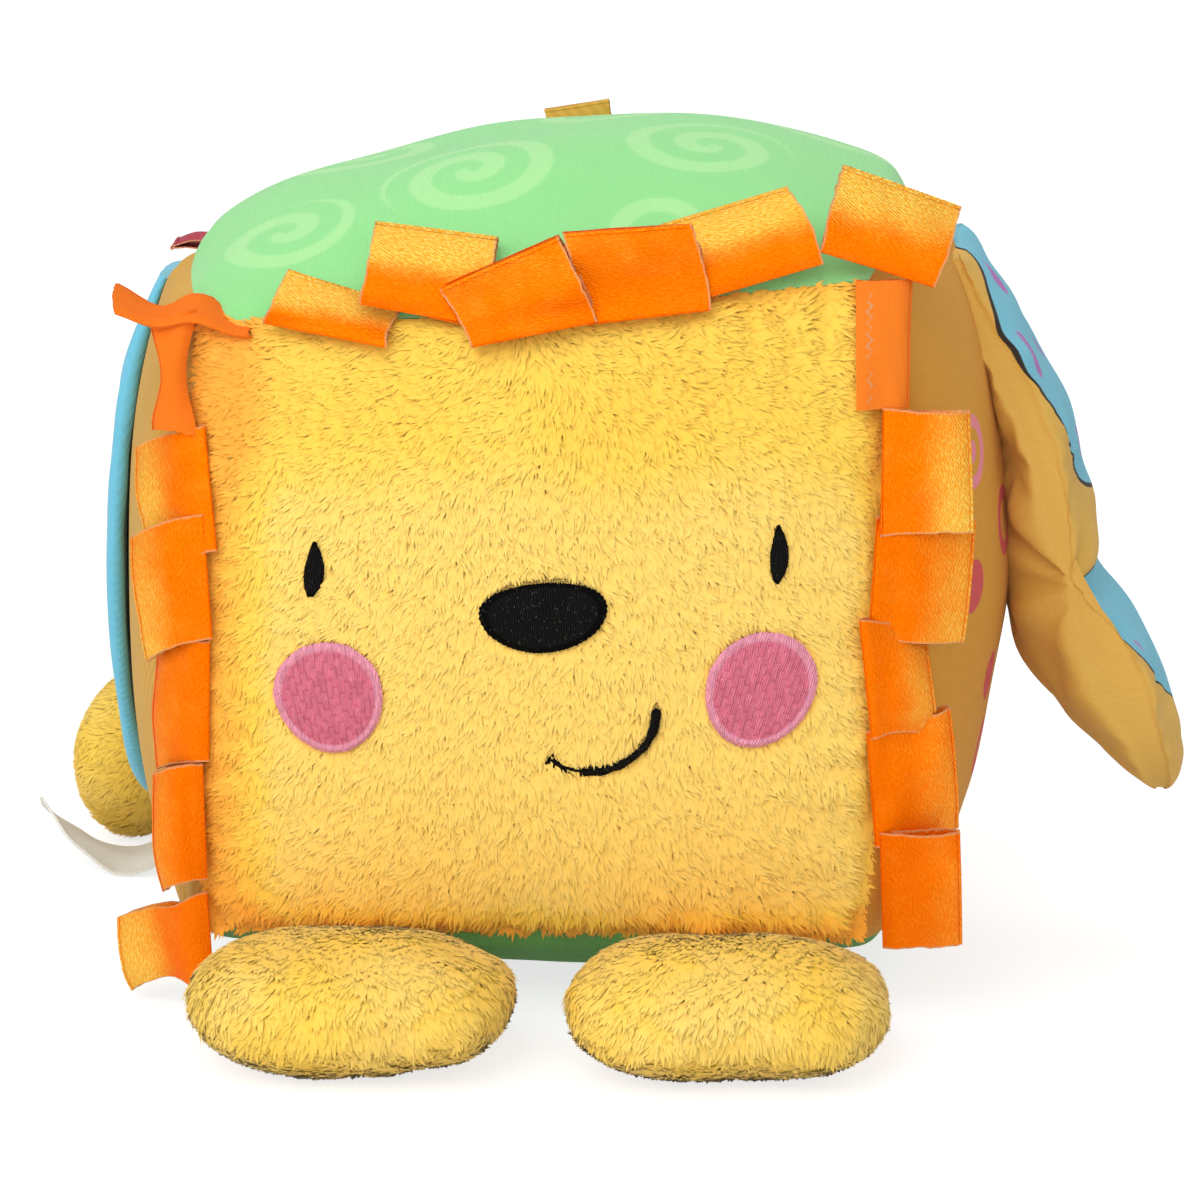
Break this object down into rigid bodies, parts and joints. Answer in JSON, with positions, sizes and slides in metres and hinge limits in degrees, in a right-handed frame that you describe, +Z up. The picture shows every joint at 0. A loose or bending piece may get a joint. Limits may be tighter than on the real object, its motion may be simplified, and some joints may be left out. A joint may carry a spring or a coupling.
{
  "type": "soft fabric block",
  "caption": "Soft stuffed fabric cube with a plush lion face on one side, a mane of folded satin ribbon tabs, two plush feet, a tail, a stuffed side flap and a thin pad on the other side.",
  "frame": {"origin": "middle of the flat that the block rests on, under the middle of the block, on the floor", "axes": "+Z up, the face looks along -Y, +X to the right of someone who looks at the face"},
  "size_m": [0.249, 0.216, 0.1772],
  "materials": {
    "plush_yellow": "long-pile plush",
    "satin_orange": "satin ribbon, diagonal twill sheen",
    "cloth_green": "woven cotton with paler spirals",
    "cloth_yellow": "woven cotton",
    "cloth_blue": "ribbed twill",
    "satin_red": "satin ribbon",
    "cloth_white": "woven label tape, blank",
    "stitch_black": "satin stitch, polyester thread",
    "stitch_pink": "satin stitch, polyester thread",
    "stuffing": "polyester fibre fill"
  },
  "bodies": {
    "block": {"core_stuffing": "stuffing", "face_panel": "plush_yellow", "back_panel": "cloth_yellow", "left_side_panel": "cloth_yellow", "right_side_panel": "cloth_yellow", "top_panel": "cloth_green", "bottom_panel": "cloth_green", "nose": "stitch_black", "left_eye": "stitch_black", "right_eye": "stitch_black", "left_cheek": "stitch_pink", "right_cheek": "stitch_pink", "smile": "stitch_black"},
    "mane_tab_top_1": {"mane_tab_top_1": "satin_orange"},
    "mane_tab_top_2": {"mane_tab_top_2": "satin_orange"},
    "mane_tab_top_3": {"mane_tab_top_3": "satin_orange"},
    "mane_tab_top_4": {"mane_tab_top_4": "satin_orange"},
    "mane_tab_top_5": {"mane_tab_top_5": "satin_orange"},
    "mane_tab_left_1": {"mane_tab_left_1": "satin_orange"},
    "mane_tab_left_2": {"mane_tab_left_2": "satin_orange"},
    "mane_tab_left_3": {"mane_tab_left_3": "satin_orange"},
    "mane_tab_left_4": {"mane_tab_left_4": "satin_orange"},
    "mane_tab_left_5": {"mane_tab_left_5": "satin_orange"},
    "mane_tab_left_6": {"mane_tab_left_6": "satin_orange"},
    "mane_tab_right_1": {"mane_tab_right_1": "satin_orange"},
    "mane_tab_right_2": {"mane_tab_right_2": "satin_orange"},
    "mane_tab_right_3": {"mane_tab_right_3": "satin_orange"},
    "mane_tab_right_4": {"mane_tab_right_4": "satin_orange"},
    "mane_tab_right_5": {"mane_tab_right_5": "satin_orange"},
    "mane_tab_right_6": {"mane_tab_right_6": "satin_orange"},
    "mane_tab_corner_left": {"mane_tab_corner_left": "satin_orange"},
    "mane_tab_corner_right": {"mane_tab_corner_right": "satin_orange"},
    "red_tab": {"red_tab": "satin_red"},
    "rear_loop": {"rear_loop": "cloth_yellow"},
    "left_foot": {"left_foot": "plush_yellow"},
    "right_foot": {"right_foot": "plush_yellow"},
    "tail": {"tail": "plush_yellow"},
    "right_wing": {"right_wing": "cloth_yellow"},
    "left_pad": {"left_pad": "cloth_blue"},
    "blank_label": {"blank_label": "cloth_white"}
  },
  "joints": [
    {"name": "mane_tab_top_1_fold", "type": "hinge", "parent": "block", "child": "mane_tab_top_1", "pos_m": [-0.04113, -0.07102, 0.1451], "axis": [0.9967, -0.0657, 0.0473], "range_deg": [-4, 40], "stiffness_Nm_per_rad": 0.0003},
    {"name": "mane_tab_top_2_fold", "type": "hinge", "parent": "block", "child": "mane_tab_top_2", "pos_m": [-0.0205, -0.06994, 0.14637], "axis": [0.9976, -0.0329, 0.0615], "range_deg": [-25, 4], "stiffness_Nm_per_rad": 0.0003},
    {"name": "mane_tab_top_3_fold", "type": "hinge", "parent": "block", "child": "mane_tab_top_3", "pos_m": [0.00008, -0.07435, 0.14676], "axis": [0.9971, 0, 0.0755], "range_deg": [-2, 40], "stiffness_Nm_per_rad": 0.0003},
    {"name": "mane_tab_top_4_fold", "type": "hinge", "parent": "block", "child": "mane_tab_top_4", "pos_m": [0.02058, -0.07204, 0.14937], "axis": [0.9954, 0.0328, 0.0895], "range_deg": [-4, 2], "stiffness_Nm_per_rad": 0.0003},
    {"name": "mane_tab_top_5_fold", "type": "hinge", "parent": "block", "child": "mane_tab_top_5", "pos_m": [0.041, -0.06893, 0.15146], "axis": [0.9925, 0.0654, 0.1033], "range_deg": [-25, 4], "stiffness_Nm_per_rad": 0.0003},
    {"name": "mane_tab_left_1_fold", "type": "hinge", "parent": "block", "child": "mane_tab_left_1", "pos_m": [-0.06978, -0.07068, 0.12476], "axis": [0.088, 0.088, 0.9922], "range_deg": [-1, 40], "stiffness_Nm_per_rad": 0.0003},
    {"name": "mane_tab_left_2_fold", "type": "hinge", "parent": "block", "child": "mane_tab_left_2", "pos_m": [-0.07014, -0.07014, 0.10561], "axis": [0.0505, 0.0505, 0.9974], "range_deg": [-7, 1], "stiffness_Nm_per_rad": 0.0003},
    {"name": "mane_tab_left_3_fold", "type": "hinge", "parent": "block", "child": "mane_tab_left_3", "pos_m": [-0.07166, -0.07263, 0.08674], "axis": [0.0125, 0.0125, 0.9998], "range_deg": [-1, 40], "stiffness_Nm_per_rad": 0.0003},
    {"name": "mane_tab_left_4_fold", "type": "hinge", "parent": "block", "child": "mane_tab_left_4", "pos_m": [-0.07062, -0.07062, 0.06781], "axis": [-0.0256, -0.0256, 0.9993], "range_deg": [-8, 0], "stiffness_Nm_per_rad": 0.0003},
    {"name": "mane_tab_left_5_fold", "type": "hinge", "parent": "block", "child": "mane_tab_left_5", "pos_m": [-0.07072, -0.07164, 0.04873], "axis": [-0.0634, -0.0634, 0.996], "range_deg": [0, 40], "stiffness_Nm_per_rad": 0.0003},
    {"name": "mane_tab_left_6_fold", "type": "hinge", "parent": "block", "child": "mane_tab_left_6", "pos_m": [-0.06821, -0.06821, 0.03001], "axis": [-0.1007, -0.1007, 0.9898], "range_deg": [-12, 2], "stiffness_Nm_per_rad": 0.0003},
    {"name": "mane_tab_right_1_fold", "type": "hinge", "parent": "block", "child": "mane_tab_right_1", "pos_m": [0.06883, -0.06883, 0.133], "axis": [0.0816, -0.0816, -0.9933], "range_deg": [-25, 5], "stiffness_Nm_per_rad": 0.0003},
    {"name": "mane_tab_right_2_fold", "type": "hinge", "parent": "block", "child": "mane_tab_right_2", "pos_m": [0.07025, -0.07224, 0.1127], "axis": [0.0468, -0.0468, -0.9978], "range_deg": [-3, 40], "stiffness_Nm_per_rad": 0.0003},
    {"name": "mane_tab_right_3_fold", "type": "hinge", "parent": "block", "child": "mane_tab_right_3", "pos_m": [0.07074, -0.07074, 0.0922], "axis": [0.0116, -0.0116, -0.9999], "range_deg": [-24, 3], "stiffness_Nm_per_rad": 0.0003},
    {"name": "mane_tab_right_4_fold", "type": "hinge", "parent": "block", "child": "mane_tab_right_4", "pos_m": [0.07069, -0.07271, 0.07175], "axis": [-0.0237, 0.0237, -0.9994], "range_deg": [-3, 40], "stiffness_Nm_per_rad": 0.0003},
    {"name": "mane_tab_right_5_fold", "type": "hinge", "parent": "block", "child": "mane_tab_right_5", "pos_m": [0.06977, -0.06977, 0.0514], "axis": [-0.0588, 0.0588, -0.9965], "range_deg": [-25, 2], "stiffness_Nm_per_rad": 0.0003},
    {"name": "mane_tab_right_6_fold", "type": "hinge", "parent": "block", "child": "mane_tab_right_6", "pos_m": [0.06832, -0.0703, 0.03079], "axis": [-0.0935, 0.0935, -0.9912], "range_deg": [-2, 40], "stiffness_Nm_per_rad": 0.0003},
    {"name": "mane_tab_corner_left_fold", "type": "hinge", "parent": "block", "child": "mane_tab_corner_left", "pos_m": [-0.06621, -0.06678, 0.14425], "axis": [0.9613, 0, 0.2756], "range_deg": [-1, 40], "stiffness_Nm_per_rad": 0.0003},
    {"name": "mane_tab_corner_right_fold", "type": "hinge", "parent": "block", "child": "mane_tab_corner_right", "pos_m": [0.06634, -0.06678, 0.1542], "axis": [0.8988, 0, -0.4384], "range_deg": [-25, 40], "stiffness_Nm_per_rad": 0.0003},
    {"name": "red_tab_fold", "type": "hinge", "parent": "block", "child": "red_tab", "pos_m": [-0.06692, 0.06692, 0.13242], "axis": [0, 1, 0], "range_deg": [-12, 40], "stiffness_Nm_per_rad": 0.0003},
    {"name": "rear_loop_fold", "type": "hinge", "parent": "block", "child": "rear_loop", "pos_m": [0, 0.07063, 0.14713], "axis": [-0.9864, 0, -0.1644], "range_deg": [-25, 40], "stiffness_Nm_per_rad": 0.0003},
    {"name": "left_foot_lift", "type": "hinge", "parent": "block", "child": "left_foot", "pos_m": [-0.03435, -0.06935, 0.01896], "axis": [-1, 0, 0], "range_deg": [0, 40], "stiffness_Nm_per_rad": 0.002},
    {"name": "right_foot_lift", "type": "hinge", "parent": "block", "child": "right_foot", "pos_m": [0.03915, -0.06907, 0.0188], "axis": [-1, 0, 0], "range_deg": [0, 40], "stiffness_Nm_per_rad": 0.002},
    {"name": "tail_lift", "type": "hinge", "parent": "block", "child": "tail", "pos_m": [-0.0683, 0.06856, 0.03301], "axis": [0.4384, 0.8988, 0], "range_deg": [0, 60], "stiffness_Nm_per_rad": 0.002},
    {"name": "right_wing_lift", "type": "hinge", "parent": "block", "child": "right_wing", "pos_m": [0.08452, 0, 0.1558], "axis": [0, -1, 0], "range_deg": [0, 90]},
    {"name": "left_pad_lift", "type": "hinge", "parent": "block", "child": "left_pad", "pos_m": [-0.07651, 0, 0.14025], "axis": [0, 0.9962, -0.0872], "range_deg": [0, 40]},
    {"name": "blank_label_lift", "type": "hinge", "parent": "block", "child": "blank_label", "pos_m": [-0.0722, 0.038, 0.0113], "axis": [0.0523, 0.9986, 0], "range_deg": [0, 60], "stiffness_Nm_per_rad": 0.0001}
  ]
}
